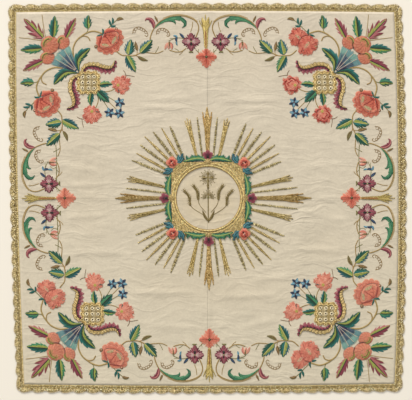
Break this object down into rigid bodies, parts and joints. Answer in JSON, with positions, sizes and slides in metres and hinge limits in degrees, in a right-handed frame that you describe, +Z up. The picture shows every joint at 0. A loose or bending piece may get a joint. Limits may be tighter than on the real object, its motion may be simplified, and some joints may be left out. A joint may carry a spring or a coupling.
{
  "type": "chalice veil",
  "caption": "Flat square silk cloth that covers a chalice, edged with scalloped gold lace and embroidered with a rayed gold centre, flowers and corner baskets.",
  "frame": {"origin": "middle of the underside, on the surface that the veil lies on", "axes": "+Z up out of the worked face, +Y to the edge at the top of the picture, +X to the edge at its right"},
  "size_m": [0.5706, 0.5596, 0.0034],
  "materials": {
    "silk": "woven cream silk, aged, soft sheen",
    "gold_lace": "woven lace of gilt metal thread, glinting",
    "gold_thread": "couched gilt metal thread, glinting",
    "coral_floss": "silk floss, soft sheen",
    "fruit_floss": "silk floss, soft sheen",
    "blue_floss": "silk floss, soft sheen",
    "purple_floss": "silk floss, soft sheen",
    "pink_floss": "silk floss, soft sheen"
  },
  "bodies": {
    "root": {"silk_ground": "silk", "lace_top": "gold_lace", "lace_left": "gold_lace", "lace_bottom": "gold_lace", "lace_right": "gold_lace", "sunburst_goldwork": "gold_thread", "corner_goldwork_1": "gold_thread", "corner_goldwork_2": "gold_thread", "corner_goldwork_3": "gold_thread", "corner_goldwork_4": "gold_thread", "fruit_1": "fruit_floss", "fruit_2": "fruit_floss", "fruit_3": "fruit_floss", "fruit_4": "fruit_floss", "blue_fan_1": "blue_floss", "blue_fan_2": "blue_floss", "blue_fan_3": "blue_floss", "blue_fan_4": "blue_floss", "rose_1": "coral_floss", "rose_2": "coral_floss", "rose_3": "coral_floss", "rose_4": "coral_floss", "rose_5": "coral_floss", "rose_6": "coral_floss", "rose_7": "coral_floss", "rose_8": "coral_floss", "carnation_1": "pink_floss", "carnation_2": "pink_floss", "carnation_3": "pink_floss", "carnation_4": "pink_floss", "carnation_5": "pink_floss", "carnation_6": "pink_floss", "carnation_7": "pink_floss", "carnation_8": "pink_floss", "pansy_1": "purple_floss", "pansy_2": "purple_floss", "pansy_3": "purple_floss", "pansy_4": "purple_floss", "pansy_5": "purple_floss", "pansy_6": "purple_floss", "pansy_7": "purple_floss", "pansy_8": "purple_floss", "side_flower_1": "coral_floss", "side_flower_2": "coral_floss", "side_flower_3": "coral_floss", "side_flower_4": "coral_floss", "gold_spike_1": "gold_thread", "gold_spike_2": "gold_thread", "gold_spike_3": "gold_thread", "gold_spike_4": "gold_thread"}
  },
  "joints": []
}
